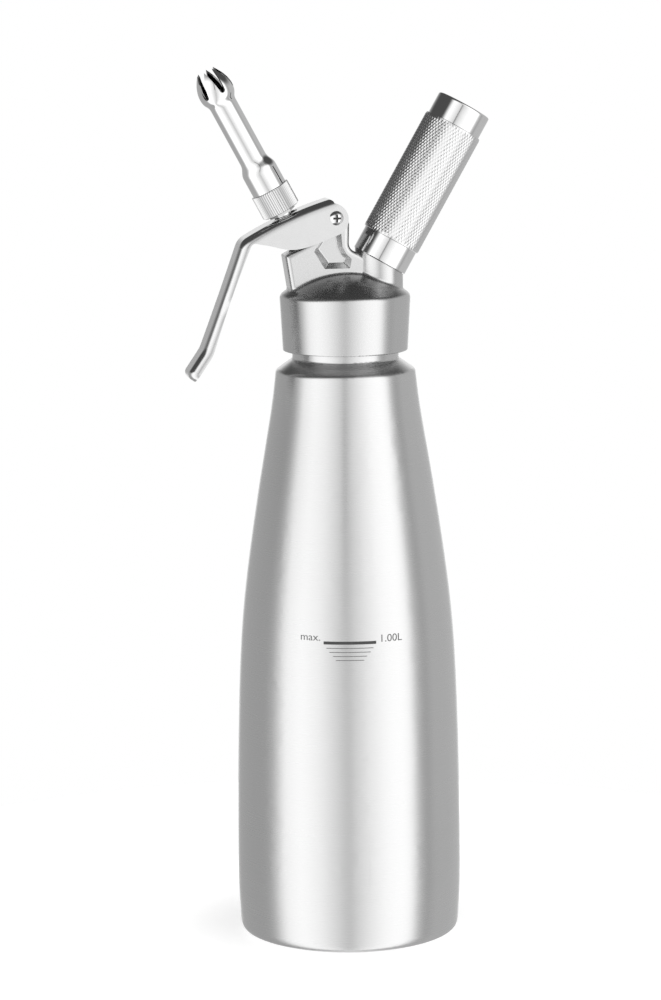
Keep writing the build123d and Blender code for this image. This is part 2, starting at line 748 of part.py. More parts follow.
def cap_apex():
    return plate_under_reach - plate_gap


def make_return_spring():
    top = cap_apex() - cap_height + cap_skirt - touch_gap
    bottom = spring_floor + touch_gap
    return valve_frame * coil(spring_mean_diameter / 2, spring_wire, spring_turns, bottom, top)


def make_spring_cap():
    apex = cap_apex()
    radius = cap_diameter / 2
    drop = cap_crown_radius - sqrt(cap_crown_radius**2 - radius**2)
    bore = stem_radius + press_gap
    bottom = apex - cap_height
    crown = crown_arc(radius, drop, apex, cap_crown_radius)
    sides = Polyline((radius, apex - drop), (radius, bottom), (0, bottom), (0, apex))
    body = revolve(Plane.XZ * make_face([crown, sides]), Axis.Z)
    skirt = tube(0, spring_mean_diameter / 2 + spring_wire, bottom - 1, bottom + cap_skirt)
    return valve_frame * (body - skirt - tube(0, bore, bottom - 1, apex + 1))


def make_stem_nut():
    hexagon = RegularPolygon(nut_across_flats / 2, 6, major_radius=False)
    nut = Pos(0, 0, nut_reach) * extrude(hexagon, nut_thickness)
    bore = tube(0, stem_radius + press_gap, nut_reach - 1, nut_reach + nut_thickness + 1)
    return valve_frame * (nut - bore)


# ---------------------------------------------------------------- nozzle group
adapter_top = adapter_reach + adapter_length
nozzle_thread_radius = nozzle_base_diameter / 2 - nozzle_thread_wall
adapter_shoulder = stem_end_reach + touch_gap + nozzle_gasket_thickness


def make_nozzle_gasket():
    bottom = stem_end_reach + touch_gap
    return valve_frame * tube(nozzle_passage_diameter / 2, stem_radius, bottom, adapter_shoulder)


def make_nozzle_adapter():
    outer = adapter_diameter / 2
    points = []
    for step in range(2 * adapter_rib_count):
        angle = pi * step / adapter_rib_count
        radius = outer - (adapter_rib_depth if step % 2 else 0)
        points.append((radius * cos(angle), radius * sin(angle)))
    ribbed = Pos(0, 0, adapter_reach) * extrude(make_face(Polyline(*points, close=True)), adapter_length)
    face = outer - adapter_edge
    limit = turned((0, adapter_reach), (face, adapter_reach), (outer, adapter_reach + adapter_edge),
                   (outer, adapter_top - adapter_edge), (face, adapter_top), (0, adapter_top))
    stub = tube(0, nozzle_thread_radius - 0.02, adapter_top - 1, adapter_top + adapter_stub_length)
    stem_bore = tube(0, stem_radius + thread_gap, adapter_reach - 1, adapter_shoulder)
    passage = tube(0, nozzle_passage_diameter / 2, adapter_reach, adapter_top + adapter_stub_length + 1)
    return valve_frame * ((ribbed & limit) + stub - stem_bore - passage)


def nozzle_form(inset, bottom):
    """The nozzle's outer form above its base, or its passage when drawn one wall further in."""
    base = nozzle_base_diameter / 2 - inset
    pipe = nozzle_tube_diameter / 2 - inset
    belly = tulip_diameter / 2 - inset
    mouth = tulip_mouth_diameter / 2 - inset
    flare_z = adapter_top + nozzle_base_length
    pipe_z = flare_z + nozzle_flare_length
    tulip_z = pipe_z + nozzle_tube_length
    tip_z = tulip_z + tulip_length
    swelling = (pipe + (belly - pipe) * tulip_swell[1], tulip_z + tulip_belly * tulip_swell[0])
    lines = [
        Polyline((0, tip_z), (0, bottom), (base, bottom), (base, flare_z)),
        Spline((base, flare_z), (pipe, pipe_z), tangents=((0, 1), (0, 1))),
        Line((pipe, pipe_z), (pipe, tulip_z)),
        Spline((pipe, tulip_z), swelling, (belly, tulip_z + tulip_belly), (mouth, tip_z),
               tangents=((0, 1), (-0.62, 1))),
        Line((mouth, tip_z), (0, tip_z)),
    ]
    return revolve(Plane.XZ * make_face(lines), Axis.Z)


def tooth_slots():
    """The gaps between the nozzle's teeth: round at the bottom and wider towards the tip."""
    tip_z = adapter_top + nozzle_base_length + nozzle_flare_length + nozzle_tube_length + tulip_length
    low = tip_z - tooth_length + tooth_slot_width / 2
    half_low = tooth_slot_width / 2
    half_top = pi * tulip_mouth_diameter / 2 / tooth_count - tooth_point / 2
    above = 1.0
    widen = (half_top - half_low) / (tip_z - low)
    flare = half_low + widen * (tip_z + above - low)
    gap = make_face([
        ThreePointArc((-half_low, low), (0, low - half_low), (half_low, low)),
        Polyline((half_low, low), (flare, tip_z + above), (-flare, tip_z + above), (-half_low, low))])
    cutter = extrude(Plane(origin=(0, 0, 0), x_dir=(0, 1, 0), z_dir=(1, 0, 0)) * gap, tulip_diameter)
    turns = [Rot(0, 0, 360 * (tooth + 0.5) / tooth_count + tooth_turn) for tooth in range(tooth_count)]
    return [turn * cutter for turn in turns]


def make_decorator_nozzle():
    body = nozzle_form(0, adapter_top)
    body = body - nozzle_form(nozzle_wall, adapter_top + nozzle_thread_length)
    body = body - tube(0, nozzle_thread_radius, adapter_top - 1, adapter_top + nozzle_thread_length + 0.01)
    for slot in tooth_slots():
        body = body - slot
    return valve_frame * body


# ---------------------------------------------------------------- charging valve
charging_body_radius = charging_bore_diameter / 2 - 0.02
charging_body_top = charging_body_reach + charging_body_length
chamber_top = charging_body_reach + plunger_chamber_length


def make_charging_valve_body():
    groove_floor = charging_body_radius - charging_oring_cord
    half_groove = charging_oring_cord / 2 + 0.1
    body = tube(0, charging_body_radius, charging_body_reach, charging_body_top)
    groove = tube(groove_floor, charging_body_radius + 1, charging_oring_reach - half_groove,
                  charging_oring_reach + half_groove)
    chamber = tube(0, plunger_chamber_diameter / 2, charging_body_reach - 1, chamber_top)
    pin_hole = tube(0, pin_diameter / 2, chamber_top - 1, charging_body_top + 1)
    return charger_frame * (body - groove - chamber - pin_hole)


def make_charging_valve_oring():
    mean = charging_body_radius - charging_oring_cord / 2
    return charger_frame * torus_ring(mean, charging_oring_cord / 2 - 0.01, charging_oring_reach)


def make_piercing_pin():
    radius = pin_diameter / 2
    bore = pin_bore_diameter / 2
    low = chamber_top + 0.4
    return charger_frame * turned(
        (bore, low), (radius, low), (radius, pin_end_reach - pin_point_length), (bore + 0.08, pin_end_reach),
        (bore, pin_end_reach))


def make_charger_seal():
    top = charger_neck_reach - touch_gap
    bottom = top - charger_seal_thickness
    return charger_frame * tube(pin_diameter / 2, charger_seal_diameter / 2, bottom, top)


plunger_top = chamber_top - touch_gap
retainer_top = charging_body_reach + retainer_thickness


def make_check_plunger():
    low = plunger_top - plunger_length
    radius = plunger_diameter / 2
    disc = turned((0, low), (radius, low), (radius, plunger_top, 0.4), (0, plunger_top))
    stem = tube(0, plunger_stem_diameter / 2, low - plunger_stem_length, low + 0.5)
    return charger_frame * (disc + stem)


def make_check_spring():
    top = plunger_top - plunger_length - touch_gap
    return charger_frame * coil(check_spring_mean_diameter / 2, check_spring_wire, check_spring_turns,
                                retainer_top + touch_gap, top)


def make_check_retainer():
    return charger_frame * tube(retainer_hole_diameter / 2, plunger_chamber_diameter / 2,
                                charging_body_reach, retainer_top)


# ---------------------------------------------------------------- gas charger
charger_radius = charger_diameter / 2
charger_tail = charger_neck_reach + charger_length


def charger_form(inset):
    """Bulb's outer form, or its inside when drawn one wall further in."""
    neck = charger_neck_diameter / 2 - inset
    body = charger_radius - inset
    shoulder = charger_neck_reach + charger_neck_length
    start = charger_neck_reach + (charger_cap_thickness if inset else 0)
    tail = charger_tail - inset
    return turned((0, start), (neck, start), (neck, shoulder - inset / 2, 1.5 + inset / 2),
                  (body, shoulder + body - neck - inset / 2, 4.0), (body, tail, body - 0.6), (0, tail))


def make_gas_charger():
    mouth = tube(0, charger_neck_diameter / 2 - charger_wall, charger_neck_reach - 1,
                 charger_neck_reach + charger_cap_thickness + 0.01)
    return charger_frame * (charger_form(0) - charger_form(charger_wall) - mouth)


def make_charger_cap():
    return charger_frame * tube(pin_diameter / 2 + 0.15, charger_neck_diameter / 2 - charger_wall,
                                charger_neck_reach, charger_neck_reach + charger_cap_thickness)


# ---------------------------------------------------------------- charger holder
holder_radius = holder_ring_diameter / 2
holder_cap_radius = holder_cap_diameter / 2
holder_bottom = charger_boss_reach + touch_gap
holder_top = holder_bottom + holder_length
sleeve_bottom = holder_bottom + holder_lower_ring
sleeve_top = sleeve_bottom + holder_sleeve_length
holder_bore_radius = charger_radius + holder_bore_gap
holder_thread_radius = stub_diameter / 2 + thread_gap
holder_neck_radius = holder_thread_radius + holder_neck_wall


def make_holder_tube():
    body = turned((0, holder_bottom), (holder_radius - holder_chamfer, holder_bottom),
                  (holder_radius, holder_bottom + holder_chamfer), (holder_radius, sleeve_bottom),
                  (holder_neck_radius, sleeve_bottom), (holder_neck_radius, sleeve_top), (0, sleeve_top))
    thread = tube(0, holder_thread_radius, holder_bottom - 1, holder_bottom + holder_thread_length)
    bore = tube(0, holder_bore_radius, holder_bottom, sleeve_top + 1)
    spigot = tube(0, holder_thread_radius, sleeve_top - holder_cap_spigot - 0.2, sleeve_top + 1)
    return charger_frame * (body - thread - bore - spigot)


def make_holder_sleeve():
    outer = holder_sleeve_diameter / 2
    return charger_frame * turned(
        (holder_neck_radius + press_gap, sleeve_bottom), (outer - holder_chamfer, sleeve_bottom),
        (outer, sleeve_bottom + holder_chamfer), (outer, sleeve_top - holder_chamfer),
        (outer - holder_chamfer, sleeve_top), (holder_neck_radius + press_gap, sleeve_top))


def make_holder_cap():
    body = turned((0, sleeve_top), (holder_cap_radius, sleeve_top),
                  (holder_cap_radius, holder_top, holder_cap_edge_radius),
                  (0, holder_top))
    spigot = tube(0, holder_thread_radius - 0.02, sleeve_top - holder_cap_spigot, sleeve_top + 1)
    hollow = tube(0, holder_bore_radius, sleeve_top - holder_cap_spigot - 1, charger_tail + 0.3)
    return charger_frame * (body + spigot - hollow)


save("bottle", make_bottle())
save("neck_ring", make_neck_ring())
save("head_gasket", make_head_gasket())
save("head", make_head())
save("lever", make_lever())
save("pivot_barrel", make_pivot_barrel())
save("pivot_screw", make_pivot_screw())
save("valve_stem", make_valve_stem())
save("valve_seal", make_valve_seal())
save("stem_oring", make_stem_oring())
save("return_spring", make_return_spring())
save("spring_cap", make_spring_cap())
save("stem_nut", make_stem_nut())
save("nozzle_gasket", make_nozzle_gasket())
save("nozzle_adapter", make_nozzle_adapter())
save("decorator_nozzle", make_decorator_nozzle())
save("charging_valve_body", make_charging_valve_body())
save("charging_valve_oring", make_charging_valve_oring())
save("piercing_pin", make_piercing_pin())
save("charger_seal", make_charger_seal())
save("check_plunger", make_check_plunger())
save("check_spring", make_check_spring())
save("check_retainer", make_check_retainer())
save("gas_charger", make_gas_charger())
save("charger_cap", make_charger_cap())
save("holder_tube", make_holder_tube())
save("holder_sleeve", make_holder_sleeve())
save("holder_cap", make_holder_cap())
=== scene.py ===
import math

import bmesh
import bpy
from mathutils import Matrix, Vector
from mathutils.bvhtree import BVHTree


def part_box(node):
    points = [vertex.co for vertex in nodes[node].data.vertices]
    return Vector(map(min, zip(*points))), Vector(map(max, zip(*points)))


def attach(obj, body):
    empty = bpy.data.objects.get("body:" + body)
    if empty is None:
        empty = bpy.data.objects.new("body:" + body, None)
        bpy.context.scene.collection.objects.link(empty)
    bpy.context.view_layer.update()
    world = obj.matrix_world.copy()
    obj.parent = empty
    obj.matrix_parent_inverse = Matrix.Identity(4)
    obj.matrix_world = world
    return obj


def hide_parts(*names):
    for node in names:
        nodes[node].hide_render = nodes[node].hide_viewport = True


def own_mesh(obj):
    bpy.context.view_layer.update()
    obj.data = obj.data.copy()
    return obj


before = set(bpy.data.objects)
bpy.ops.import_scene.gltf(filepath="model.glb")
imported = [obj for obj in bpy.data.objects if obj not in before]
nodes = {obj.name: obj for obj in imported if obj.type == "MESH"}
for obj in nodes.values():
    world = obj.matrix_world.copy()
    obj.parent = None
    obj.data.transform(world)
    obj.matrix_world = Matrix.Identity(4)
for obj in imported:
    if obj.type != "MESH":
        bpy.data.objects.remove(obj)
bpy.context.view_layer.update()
scene = bpy.context.scene
scene.view_settings.view_transform = "Standard"

# ---------------------------------------------------------------- camera
# A long lens, a little to the left of straight ahead and higher than the flask, that looks slightly
# down on it. The roll and the shift set the flask in the middle of the picture.
CAMERA_PLACE = (-0.3036, -1.6828, 0.46783)
CAMERA_LOOK = (0.1715, 0.9726, -0.1569)
CAMERA_ROLL = math.radians(-0.47)
CAMERA_SHIFT = (-0.00075, 0.0005)
LENS = 140.4  # millimetres, as is the sensor's width
SENSOR_WIDTH = 36.0
FARTHEST_SEEN = 20.0

camera_data = bpy.data.cameras.new("camera")
camera_data.lens = LENS
camera_data.sensor_width = SENSOR_WIDTH
camera_data.clip_end = FARTHEST_SEEN
camera_data.shift_x, camera_data.shift_y = CAMERA_SHIFT
camera = bpy.data.objects.new("camera", camera_data)
camera_aim = Vector(CAMERA_LOOK).to_track_quat("-Z", "Y").to_matrix().to_4x4()
camera.matrix_world = Matrix.Translation(CAMERA_PLACE) @ camera_aim @ Matrix.Rotation(CAMERA_ROLL, 4, "Z")
scene.collection.objects.link(camera)
scene.camera = camera


# ---------------------------------------------------------------- studio
# A white room. Round the object, out of the camera's sight, stand a tall soft panel on each side of
# the camera, a dark rod between the two, grey screens beyond them and a dark canopy overhead. Steel
# takes its upright bands and its dark shoulders from them.
def grey(shade):
    return (shade, shade, shade, 1)


class Wire:
    """An output socket of a node tree. A sum of wires and numbers adds the nodes that work it out."""

    def __init__(self, socket):
        self.socket = socket

    @classmethod
    def add(cls, tree, kind, settings=(), inputs=(), output=0):
        """Add a node with its settings, then the values or wires of its sockets; return one output."""
        made = tree.nodes.new(kind)
        for name, value in dict(settings).items():
            if name == "stops":
                ramp = made.color_ramp
                while len(ramp.elements) < len(value):
                    ramp.elements.new(1.0)
                for stop, (place, shade) in zip(ramp.elements, value):
                    stop.position = place
                    stop.color = grey(shade)
            else:
                setattr(made, name, value)
        for name, value in dict(inputs).items():
            if isinstance(value, cls):
                value.feed(made.inputs[name])
            else:
                made.inputs[name].default_value = value
        return cls(made.outputs[output])

    def then(self, kind, settings=(), inputs=(), output=0):
        """Add a node whose first socket takes this wire."""
        return Wire.add(self.socket.id_data, kind, settings, {0: self, **dict(inputs)}, output)

    def feed(self, socket):
        """Link this wire to an input socket of its tree."""
        self.socket.id_data.links.new(self.socket, socket)

    def math(self, operation, *others):
        return self.then("ShaderNodeMath", {"operation": operation}, enumerate(others, 1))

    def vector(self, operation, *others, output=0):
        return self.then("ShaderNodeVectorMath", {"operation": operation}, enumerate(others, 1), output)

    def part(self, axis):
        """The X, Y or Z of a vector."""
        return self.then("ShaderNodeSeparateXYZ", output=axis)

    def step(self, low, high, kind="SMOOTHSTEP"):
        """Nought up to low, one from high on, and a slope between them."""
        return self.then("ShaderNodeMapRange", {"interpolation_type": kind}, {1: low, 2: high})

    def mix(self, first, second, kind="MIX"):
        """Two colours mixed, where this wire is the share of the second."""
        return self.then("ShaderNodeMix", {"data_type": "RGBA", "blend_type": kind}, {6: first, 7: second}, 2)

    def __add__(self, other):
        return self.math("ADD", other)

    def __sub__(self, other):
        return self.math("SUBTRACT", other)

    def __rsub__(self, other):
        return self * -1 + other

    def __mul__(self, other):
        return self.math("MULTIPLY", other)

    def __truediv__(self, other):
        return self.math("DIVIDE", other)

    def __lt__(self, other):
        return self.math("LESS_THAN", other)

    def __gt__(self, other):
        return self.math("GREATER_THAN", other)

    __radd__ = __add__
    __rmul__ = __mul__


# degrees round to the right from the camera, with the brightness of the screens there
SCREENS = ((-180, 1.0), (-166, 1.0), (-160, 0.5), (-95, 0.5), (-86, 0.62), (-70, 1.5), (-50, 1.62),
           (-30, 1.42), (-14, 1.1), (-9, 1.0), (-5, 0.88), (2, 0.76), (5.5, 0.96), (20, 1.25), (38, 1.55),
           (58, 1.66), (68, 1.6), (78, 0.72), (88, 0.48), (100, 0.62), (160, 0.6), (166, 1.0), (180, 1.0))
BRIGHTEST = 2.0  # at most, since a ramp of shades ends at one
# how steeply up, as the sine of the angle, the screens end there and the canopy begins
SCREEN_TOPS = ((-180, 0.3), (-150, 0.2), (-110, 0.15), (-80, 0.15), (-65, 0.25), (-45, 0.42), (-25, 0.55),
               (0, 0.6), (40, 0.66), (70, 0.6), (100, 0.45), (150, 0.36), (180, 0.3))
SCREEN_EDGE = 0.3
CANOPY = 0.09
# the share of a panel's light that the rod leaves there, and the sines between which its foot fades in
ROD = ((-180, 1.0), (-4.5, 1.0), (-3.5, 0.3), (-1.0, 0.3), (0.0, 1.0), (180, 1.0))
ROD_FOOT = (0.1, 0.22)
STUDIO_RADIUS = 4.0


def stock(name, build):
    """A new object whose mesh build makes in a bmesh, with its faces turned outwards."""
    mesh = bpy.data.meshes.new(name)
    work = bmesh.new()
    build(work)
    bmesh.ops.recalc_face_normals(work, faces=work.faces)
    work.to_mesh(mesh)
    work.free()
    made = bpy.data.objects.new(name, mesh)
    scene.collection.objects.link(made)
    return made


def here(tree, kind="Object"):
    """Where a point is on its piece or, with kind Normal, which way the surface faces there."""
    return Wire.add(tree, "ShaderNodeTexCoord", output=kind)


def new_finish(name):
    """A new material, and its tree of nodes."""
    made = bpy.data.materials.new(name)
    made.use_nodes = True
    return made, made.node_tree


def looking_ray(tree):
    """One where a ray comes from the camera, off metal or through glass, and nought elsewhere."""
    camera_ray, glossy_ray, clear_ray = (Wire.add(tree, "ShaderNodeLightPath", output=f"Is {kind} Ray")
                                         for kind in ("Camera", "Glossy", "Transmission"))
    return camera_ray.math("MAXIMUM", glossy_ray).math("MAXIMUM", clear_ray)


screens = stock("screens", lambda work: bmesh.ops.create_uvsphere(
    work, u_segments=48, v_segments=24, radius=STUDIO_RADIUS))
screens.visible_camera = False
screen_cloth, cloth = new_finish("screen_cloth")
toward_camera = Vector((*CAMERA_PLACE[:2], 0)).normalized()
to_the_right = Vector((-toward_camera.y, toward_camera.x, 0))
ahead, aside = (here(cloth).vector("DOT_PRODUCT", tuple(axis), output="Value")
                for axis in (toward_camera, to_the_right))
turn = aside.math("ARCTAN2", ahead) / math.tau + 0.5
rise = here(cloth).part("Z") / STUDIO_RADIUS


def round_the_room(profile):
    """A shade that changes with the turn, from pairs of an angle in degrees and the shade there."""
    stops = [(angle / 360 + 0.5, shade) for angle, shade in profile]
    return turn.then("ShaderNodeValToRGB", {"stops": stops})


panels = round_the_room((angle, brightness / BRIGHTEST) for angle, brightness in SCREENS)
upright = rise.step(*ROD_FOOT, kind="LINEAR").mix(panels, round_the_room(ROD), "MULTIPLY")
top = round_the_room(SCREEN_TOPS).then("ShaderNodeSeparateColor")
surround = rise.step(top, top + SCREEN_EDGE).mix(upright, grey(CANOPY / BRIGHTEST))
screen_light = surround.then("ShaderNodeEmission", (), {"Strength": BRIGHTEST})
screen_light.feed(cloth.nodes["Material Output"].inputs["Surface"])
screens.data.materials.append(screen_cloth)

world = bpy.data.worlds.new("white_room")
scene.world = world
world.use_nodes = True
background = world.node_tree.nodes["Background"]
background.inputs["Color"].default_value = grey(1)
looking_ray(world.node_tree).feed(background.inputs["Strength"])

# ---------------------------------------------------------------- table
# A round white table top. Its glow fades towards the middle, so that the bottle's foot stands in a
# soft shadow, partly cast and partly painted by that fading glow, and steel doesn't mirror it.
TABLE_RADIUS = 0.3
TABLE_WHITE = 0.9
GLOW_AT_MIDDLE = 0.62
GLOW_AT_RIM = 0.95
GLOW_EDGES = (0.045, 0.13)  # radii between which the glow grows

table = stock("table", lambda work: bmesh.ops.create_circle(
    work, cap_ends=True, segments=96, radius=TABLE_RADIUS))
table.visible_glossy = False
table_paint, paint = new_finish("table_paint")
from_middle = here(paint).vector("LENGTH", output="Value")
table_glow = from_middle.step(*GLOW_EDGES) * (GLOW_AT_RIM - GLOW_AT_MIDDLE) + GLOW_AT_MIDDLE
table_light = Wire.add(paint, "ShaderNodeEmission", (), {"Strength": looking_ray(paint) * table_glow})
lit_paint = Wire.add(paint, "ShaderNodeBsdfDiffuse", (), {"Color": grey(TABLE_WHITE)}).then(
    "ShaderNodeAddShader", (), {1: table_light})
lit_paint.feed(paint.nodes["Material Output"].inputs["Surface"])
table.data.materials.append(table_paint)


# ---------------------------------------------------------------- bottle and neck ring
# The pressure bottle is drawn from stainless steel and brushed round its axis with a fine belt. The
# ring with the thread for the head is turned, and welded on its neck. Both are solids of the frame.
QUARTER_TURN = 0.25
GRAIN_DETAIL = 4.0


def two_tone(mask, colour, spread):
    """A colour that a mask takes from a share spread below itself to as much above."""
    dark, light = ([part * (1 + side) for part in colour] + [1] for side in (-spread, spread))
    return mask.mix(dark, light)


def steel(name, colour, roughness, grain, tilt=0.0, brushed=0.0, uneven=0.05, spread=0.04, relief=0.0):
    """Steel whose grain is so many metres long on X, Y and Z, where tilt leans those axes over in XZ.

    Brushed is how far its gloss is drawn out across the brushing, uneven and spread are how much the
    grain changes roughness and colour, and relief is the grain's depth in metres.
    """
    made, tree = new_finish(name)
    shader = tree.nodes["Principled BSDF"]
    shader.inputs["Metallic"].default_value = 1.0
    shader.inputs["Anisotropic"].default_value = brushed
    shader.inputs["Anisotropic Rotation"].default_value = QUARTER_TURN
    along = here(tree).then("ShaderNodeMapping", {"vector_type": "TEXTURE"},
                            {"Rotation": (0, tilt, 0), "Scale": grain})
    fine = along.then("ShaderNodeTexNoise", (), {"Scale": 1.0, "Detail": GRAIN_DETAIL})
    ((fine - 0.5) * uneven + roughness).feed(shader.inputs["Roughness"])
    two_tone(fine, colour, spread).feed(shader.inputs["Base Color"])
    if relief:
        bump = Wire.add(tree, "ShaderNodeBump", (), {"Height": fine, "Distance": relief, "Strength": 1.0})
        bump.feed(shader.inputs["Normal"])
    return made


def dress(material, *names):
    """Give solids of the frame their finish."""
    for name in names:
        nodes[name].data.materials.clear()
        nodes[name].data.materials.append(material)


dress(steel("brushed_bottle", (0.63, 0.63, 0.63), roughness=0.27, grain=(0.06, 0.06, 0.0004),
            brushed=0.7, uneven=0.03, spread=0.02, relief=0.0000007), "bottle")
dress(steel("turned_ring", (0.66, 0.66, 0.66), roughness=0.2, grain=(0.02, 0.02, 0.0003),
            brushed=0.4), "neck_ring")

# ---------------------------------------------------------------- level mark
# The line up to which the bottle may be filled: a bar, four ever shorter hairlines and two words,
# etched dark into the steel. Here they are skins thinner than a hair, laid on the bottle's front.
MARK_TURN = math.radians(-8.95)  # from the bottle's front towards its left
MARK_HEIGHT = 0.1408
BAR = (0.0231, 0.0013)  # length and width
HAIRLINES = (0.0206, 0.0180, 0.0149, 0.0123)  # lengths
HAIRLINE_WIDTH = 0.0003
HAIRLINE_STEP = 0.00176
FIRST_HAIRLINE = 0.0023
COLUMN = 0.001  # width of the strips in which a line bends round the bottle
CAPITAL = 0.72  # height of a capital of the built-in letter at size one
LETTER_HEIGHT = 0.0033
LETTER_STRETCH = 1.08
# each word with the middle of its capitals, across and up
WORDS = (("max.", -0.0176, 0.0025), ("1.00L", 0.0184, 0.0017))
SKIN = 0.00003  # how thick the skins are, and how far off the bottle
WELD = 1e-7
SPECK_GLOSS = 0.2  # how much the specks of a dull finish change its roughness

bottle_skin = BVHTree.FromPolygons([point.co for point in nodes["bottle"].data.vertices],
                                   [face.vertices for face in nodes["bottle"].data.polygons])


def surface_at(height, bearing):
    """The bottle's outside at a height and a bearing, and the way out from its axis there."""
    away = Vector((math.sin(bearing), -math.cos(bearing), 0))
    return bottle_skin.ray_cast(Vector((0, 0, height)) + away, -away)[0], away


def on_bottle(point):
    """Lay a point that is drawn flat, as right, up and out, on the bottle's front."""
    height = MARK_HEIGHT + point.y
    radius = surface_at(height, MARK_TURN)[0].xy.length
    surface, away = surface_at(height, MARK_TURN + point.x / radius)
    return surface + away * (SKIN + point.z)


def draw_line(work, width, thickness, height):
    """A flat bar in columns, centred on the mark."""
    columns = round(width / COLUMN)
    rows = [[work.verts.new((width * (column / columns - 0.5), height + side * thickness / 2, 0))
             for column in range(columns + 1)] for side in (-1, 1)]
    for column in range(columns):
        work.faces.new((rows[0][column], rows[0][column + 1], rows[1][column + 1], rows[1][column]))


def draw_bar(work):
    draw_line(work, *BAR, 0)


def draw_hairlines(work):
    for number, width in enumerate(HAIRLINES):
        draw_line(work, width, HAIRLINE_WIDTH, -FIRST_HAIRLINE - number * HAIRLINE_STEP)


def word_mesh(word, middle, height):
    """A word in the plain built-in letter, as a flat mesh."""
    curve = bpy.data.curves.new(word, "FONT")
    curve.body = word
    curve.align_x = "CENTER"
    letters = bpy.data.objects.new(word, curve)
    scene.collection.objects.link(letters)
    mesh = bpy.data.meshes.new_from_object(letters.evaluated_get(bpy.context.evaluated_depsgraph_get()))
    bpy.data.objects.remove(letters)
    size = LETTER_HEIGHT / CAPITAL
    drawn_size = Matrix.Diagonal((size * LETTER_STRETCH, size, size, 1))
    mesh.transform(Matrix.Translation((middle, height - LETTER_HEIGHT / 2, 0)) @ drawn_size)
    return mesh


def draw_words(work):
    for word, middle, height in WORDS:
        work.from_mesh(word_mesh(word, middle, height))
    bmesh.ops.remove_doubles(work, verts=work.verts, dist=WELD)


def speckled(name, colour, spread, roughness, specks):
    """A dull finish with so many specks in a metre, that change its colour by a share spread."""
    made, tree = new_finish(name)
    shader = tree.nodes["Principled BSDF"]
    speck = here(tree).then("ShaderNodeTexNoise", (), {"Scale": specks})
    (speck * SPECK_GLOSS + roughness).feed(shader.inputs["Roughness"])
    two_tone(speck, colour, spread).feed(shader.inputs["Base Color"])
    return made


def etch(name, draw, finish):
    """Thicken a flat drawing to a skin, lay it on the bottle and fix it there."""

    def lay(work):
        draw(work)
        thickened = bmesh.ops.extrude_face_region(work, geom=work.faces[:])
        for part in thickened["geom"]:
            if isinstance(part, bmesh.types.BMVert):
                part.co.z += SKIN
        for vertex in work.verts:
            vertex.co = on_bottle(vertex.co)

    mark = stock(name, lay)
    mark.data.materials.append(finish)
    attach(mark, "bottle")


etched_deep = speckled("etched_deep", (0.05, 0.05, 0.05), spread=0.4, roughness=0.45, specks=4000.0)
etched_fine = speckled("etched_fine", (0.16, 0.16, 0.16), spread=0.25, roughness=0.45, specks=4000.0)
etch("level_bar", draw_bar, etched_deep)
etch("level_hairlines", draw_hairlines, etched_fine)
etch("level_words", draw_words, etched_fine)

# ---------------------------------------------------------------- head and its gasket
# The cap with its valve boss, pivot lug and charger boss is one stainless casting, blasted, then
# turned on the collar. The top of its dome is painted darker where it looks up, a painted reflection
# of the dark overhead. A ring of red silicone seals it on the bottle.
DOME_TOP = 0.3
DOME_LEVEL = (0.55, 0.9)  # how far up a face looks where the painted shade begins and is full
# the dome top's painted shade, a painted reflection of the dark overhead
DOME_PAINTED_SHADE = 0.34


def on_painted_dome(tree):
    """One where the top of the dome looks up and gets its painted shade, and nought on its sides and on what
    stands above it.
    """
    height, upward = (here(tree, kind).part("Z") for kind in ("Object", "Normal"))
    return upward.step(*DOME_LEVEL) * (height < DOME_TOP)


def with_painted_shade(material, where, shade):
    """Paint a dark shade over a finish where a mask is one, as painted shade. The mask is worked out by
    where, on its tree.
    """
    tree = material.node_tree
    base_colour = tree.nodes["Principled BSDF"].inputs["Base Color"]
    plain = Wire(base_colour.links[0].from_socket)
    where(tree).mix(plain, grey(shade)).feed(base_colour)
    return material


cast_head = steel("cast_head", (0.6, 0.6, 0.6), roughness=0.27, grain=(0.0005, 0.0005, 0.0005),
                  brushed=0.4, uneven=0.03)
dress(with_painted_shade(cast_head, on_painted_dome, DOME_PAINTED_SHADE), "head")
dress(speckled("red_silicone", (0.55, 0.05, 0.04), spread=0.1, roughness=0.4, specks=900.0), "head_gasket")

# ---------------------------------------------------------------- valve
# A polished hollow stem slides in the head, with black rubber on its seat and in its guide. The nut
# above the lever and the cap under it are turned, and a coil of steel wire pushes the stem back up.
VALVE_TILT = math.radians(28.3)
VALVE_AXIS = (-math.sin(VALVE_TILT), 0, math.cos(VALVE_TILT))


def polished(name):
    return steel(name, (0.74, 0.74, 0.74), roughness=0.07, grain=(0.003, 0.003, 0.003),
                 tilt=VALVE_TILT, uneven=0.03)


def coil(spring, axis):
    """A spring of the frame as one welded piece on the head, whose ends along an axis are found but not used.
    """

    def weld(work):
        work.from_mesh(nodes[spring].data)
        bmesh.ops.remove_doubles(work, verts=work.verts, dist=WELD)

    made = stock(spring.replace("spring", "coil"), weld)
    made.data.materials.append(nodes[spring].data.materials[0])
    low, high = (limit(made.data.vertices, key=lambda point: Vector(axis).dot(point.co)).co
                 for limit in (min, max))
    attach(made, "head")
    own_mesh(made)
    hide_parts(spring)


small_steel = polished("small_steel")
turned_inside = steel("turned_inside", (0.58, 0.58, 0.58), roughness=0.25, grain=(0.003, 0.003, 0.003))
black_rubber = speckled("black_rubber", (0.03, 0.03, 0.03), spread=0.1, roughness=0.4, specks=900.0)
dress(small_steel, "valve_stem")
dress(turned_inside, "stem_nut", "spring_cap", "return_spring")
dress(black_rubber, "valve_seal", "stem_oring")
coil("return_spring", VALVE_AXIS)

